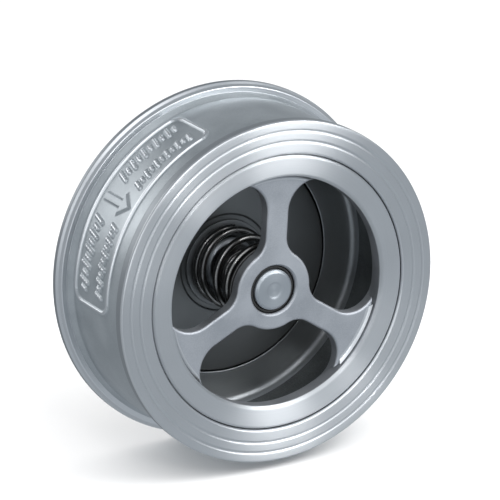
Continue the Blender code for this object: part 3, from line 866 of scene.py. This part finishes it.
def make_spring(material):
    """The coil spring as a round wire from the disc to the hub."""
    first, last = depth_range("spring")
    hub_end, disc_end = first + WIRE / 2, last - WIRE / 2
    pitch = (disc_end - hub_end - 2 * END_TURNS * END_PITCH) / (TURNS - 2 * END_TURNS)
    per_turn, sides = 72, 24
    along = Vector((0, 1, 0))
    bm = bmesh.new()
    rings = []
    for k in range(round(TURNS * per_turn) + 1):
        turn = k / per_turn
        at_start = min(turn, END_TURNS)
        at_end = max(turn - TURNS + END_TURNS, 0.0)
        depth = disc_end - (at_start + at_end) * END_PITCH - (turn - at_start - at_end) * pitch
        angle = COIL_START + 2 * math.pi * turn
        centre = place(COIL_R, angle, depth)
        outward = Vector((math.cos(angle), 0, math.sin(angle)))
        ring = []
        for s in range(sides):
            a = 2 * math.pi * s / sides
            direction = outward * math.cos(a) + along * math.sin(a)
            ring.append(bm.verts.new(centre + direction * WIRE / 2 * MM))
        rings.append(ring)
    for first_ring, second_ring in zip(rings, rings[1:]):
        for s in range(sides):
            t = (s + 1) % sides
            bm.faces.new((first_ring[s], first_ring[t], second_ring[t], second_ring[s]))
    bm.faces.new(rings[0])
    bm.faces.new(list(reversed(rings[-1])))
    spring = new_object(bm, "closing_spring")
    adopt(spring, "spring", "spring_steel", material)
    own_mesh(spring)


# ---------------------------------------------------------------- camera, light and floor

AZIMUTH, RISE = math.radians(-29.53), math.radians(18.45)
DISTANCE, LENS = 1.35, 257.5
ASIDE, ABOVE = -0.0114, 0.0165                         # the camera's shift, keeping its direction
FRONT_TONE, BACK_TONE = 0.64, 0.38                     # what the metal reflects, front and back
TONE_SLANT = 0.3                                       # how much the tone changes with height
TONE_TINT = (0.93, 1.0, 1.07)
WHITE_ROOM = 1.08
FLOOR_HALF, FLOOR_GAP = 4.0, 0.0002

# Name, direction from the outlet face's centre, distance, size and power
LIGHTS = (
    ("key_box", (0.53, -0.55, 0.64), 0.50, (0.36, 0.26), 1.85),
    ("top_box", (-0.25, -0.50, 0.83), 0.80, (0.70, 0.60), 2.0),
    ("spark_box", (-0.30, -0.78, 0.55), 0.70, (0.08, 0.12), 0.4),
    ("barrel_box", (-0.46, 0.82, 0.33), 1.0, (0.55, 0.45), 1.6),
    ("left_strip", (-0.80, -0.55, 0.22), 0.60, (0.22, 0.34), 0.36),
)


def make_camera():
    """The product view: from the outlet side, about 30 degrees round and 18 degrees up."""
    towards = Vector((math.sin(AZIMUTH) * math.cos(RISE),
                      -math.cos(AZIMUTH) * math.cos(RISE),
                      math.sin(RISE)))
    right = Vector((math.cos(AZIMUTH), math.sin(AZIMUTH), 0))
    up = right.cross(-towards)
    face_centre = Vector((0, FACE_Y, 0))
    data = bpy.data.cameras.new("camera")
    data.lens = LENS
    data.sensor_width = 36
    data.clip_end = 100
    camera = bpy.data.objects.new("camera", data)
    bpy.context.collection.objects.link(camera)
    camera.location = face_centre + towards * DISTANCE + right * ASIDE + up * ABOVE
    camera.rotation_euler = (-towards).to_track_quat("-Z", "Y").to_euler()
    bpy.context.scene.camera = camera


def make_lights():
    """Softboxes that aim at the outlet face's centre."""
    aim = Vector((0, FACE_Y, 0))
    for name, towards, distance, size, power in LIGHTS:
        data = bpy.data.lights.new(name, "AREA")
        data.shape = "RECTANGLE"
        data.size, data.size_y = size
        data.energy = power
        lamp = bpy.data.objects.new(name, data)
        bpy.context.collection.objects.link(lamp)
        lamp.location = aim + Vector(towards).normalized() * distance
        lamp.rotation_euler = (aim - lamp.location).to_track_quat("-Z", "Y").to_euler()
        lamp.visible_camera = False


def make_world():
    """A pale studio: white to the camera and the floor, soft greys in the metal."""
    world = bpy.data.worlds.new("studio")
    bpy.context.scene.world = world
    world.use_nodes = True
    tree = world.node_tree
    background = tree.nodes["Background"]
    coords = tree.nodes.new("ShaderNodeTexCoord")
    split = tree.nodes.new("ShaderNodeSeparateXYZ")
    tree.links.new(coords.outputs["Generated"], split.inputs["Vector"])
    tone = tree.nodes.new("ShaderNodeMapRange")
    tone.inputs["From Min"].default_value = -1
    tone.inputs["To Min"].default_value = FRONT_TONE
    tone.inputs["To Max"].default_value = BACK_TONE
    slant = tree.nodes.new("ShaderNodeMath")
    slant.operation = "MULTIPLY_ADD"
    slant.inputs[1].default_value = TONE_SLANT
    tree.links.new(split.outputs["Z"], slant.inputs[0])
    tree.links.new(split.outputs["Y"], slant.inputs[2])
    tree.links.new(slant.outputs["Value"], tone.inputs["Value"])
    tint = tree.nodes.new("ShaderNodeMix")
    tint.data_type = "RGBA"
    tint.blend_type = "MULTIPLY"
    tint.inputs["Factor"].default_value = 1
    tint.inputs["A"].default_value = (*TONE_TINT, 1)
    tree.links.new(tone.outputs["Result"], tint.inputs["B"])
    tree.links.new(tint.outputs["Result"], background.inputs["Color"])
    white = tree.nodes.new("ShaderNodeBackground")
    white.inputs["Color"].default_value = (1, 1, 1, 1)
    white.inputs["Strength"].default_value = WHITE_ROOM
    path = tree.nodes.new("ShaderNodeLightPath")
    mix = tree.nodes.new("ShaderNodeMixShader")
    tree.links.new(path.outputs["Is Glossy Ray"], mix.inputs["Fac"])
    tree.links.new(white.outputs["Background"], mix.inputs[1])
    tree.links.new(background.outputs["Background"], mix.inputs[2])
    tree.links.new(mix.outputs["Shader"], tree.nodes["World Output"].inputs["Surface"])


def make_floor():
    """A plain pale floor under the rim."""
    bm = bmesh.new()
    bmesh.ops.create_grid(bm, x_segments=8, y_segments=8, size=FLOOR_HALF)
    floor = new_object(bm, "studio_floor")
    floor.location = (0, 0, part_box("body")[0][2] - FLOOR_GAP)
    s = Shader("floor_paint", (0.9, 0.9, 0.9), 0.6, 0.0)
    s.feed(s.surface.inputs["Base Color"],
           s.mix(s.noise(30, 2), (0.89, 0.89, 0.89, 1), (0.92, 0.92, 0.92, 1)))
    floor.data.materials.append(s.material)
    floor.visible_glossy = False


def main():
    """Materials, studio and pieces."""
    steel = turned_metal("turned_steel", (0.66, 0.68, 0.70), (0.52, 0.54, 0.56), 0.45, 0.95)
    ring_steel = turned_metal("ring_steel", (0.68, 0.70, 0.72), (0.54, 0.56, 0.58), 0.45, 0.95)
    cast = blasted_metal("blasted_steel", (0.48, 0.50, 0.53), (0.38, 0.40, 0.43), 0.56)
    rims = turned_metal("rim_steel", (0.62, 0.64, 0.66), (0.50, 0.52, 0.54), 0.32, 0.0)
    # turned steel darkened as painted shade, for the rims' sides
    sides = turned_metal("side_steel_shaded", (0.34, 0.36, 0.38), (0.27, 0.29, 0.31), 0.48, 0.0)
    barrel = blasted_metal("barrel_steel", (0.48, 0.51, 0.53), (0.38, 0.41, 0.43), 0.46)
    # as-cast chamber steel, its near-black colour painted shade for the dark inside of the body
    raw_and_shade = blasted_metal("raw_casting_and_shade", (0.17, 0.18, 0.18), (0.10, 0.105, 0.105), 0.42,
                        grain=1500, pit_depth=0.00008)
    # the floor really is bored; its brightness over the dark chamber is a painted highlight
    bored = turned_metal("bored_highlight_steel", (0.42, 0.44, 0.455), (0.32, 0.335, 0.35), 0.34, 0.6)
    stem_steel = turned_metal("stem_steel", (0.44, 0.47, 0.50), (0.37, 0.40, 0.43), 0.45, 0.4)
    # oily steel, near-black also as painted shade for the stem deep in the chamber
    oiled_and_shaded = plain_material("oiled_shaded_steel", (0.22, 0.22, 0.22), 0.30, 1.0, 900)
    # turned disc steel, its dark colour painted shade for the disc deep in the chamber
    disc_steel = turned_metal("disc_steel", (0.22, 0.23, 0.235), (0.15, 0.16, 0.16), 0.45, 0.5)
    plate_steel = turned_metal("plate_steel", (0.56, 0.58, 0.60), (0.40, 0.42, 0.44), 0.32, 0.6)
    screw_steel = plain_material("screw_steel", (0.58, 0.59, 0.60), 0.30, 1.0, 900)
    washer_steel = plain_material("washer_steel", (0.14, 0.14, 0.14), 0.45, 1.0, 900)
    # dark as painted shade, like the disc the washer rests on
    disc_washer_shaded = turned_metal("disc_washer_shaded", (0.24, 0.25, 0.26), (0.16, 0.17, 0.17), 0.45, 0.5)
    # polymer bush; its near-black colour is also painted shade for the dark gap round the stem
    polymer_and_gap_shade = plain_material("bush_polymer", (0.02, 0.02, 0.02), 0.5, 0.0, 1400)
    ptfe = plain_material("seal_ptfe", (0.80, 0.80, 0.76), 0.46, 0.0, 700)
    make_camera()
    make_world()
    make_lights()
    make_floor()
    make_body(steel, rims, barrel, raw_and_shade, bored, sides)    # in the order of MACHINED to SHADED_SIDES
    make_ring(ring_steel, cast)
    make_spider(cast, raw_and_shade)
    make_arm_ramps(rims)
    make_stem(stem_steel, oiled_and_shaded)
    make_disc(disc_steel)
    make_spring(spring_material())
    make_clamp_plate(plate_steel)
    flat_ring("seal_ring", "disc_seal", 37.0, "seal_ptfe", ptfe)
    flat_ring("hub_washer", "spring_washer_hub", 12.0, "washer_steel", washer_steel)
    flat_ring("disc_washer_shaded", "spring_washer_disc", 11.4, "washer_steel", disc_washer_shaded)
    flat_ring("plain_bush", "guide_bush", 8.3, "bush_polymer", polymer_and_gap_shade)
    for node in CLAMP_NODES:
        make_screw(node, shank_r=2.0, socket_r=1.4, material=screw_steel)
    make_screw("stem_screw", shank_r=4.0, socket_r=2.9, material=screw_steel)
    for node in DOWEL_NODES:
        make_dowel(node, screw_steel)
    view = bpy.context.scene.view_settings
    view.view_transform = "Standard"
    view.look = "None"


main()
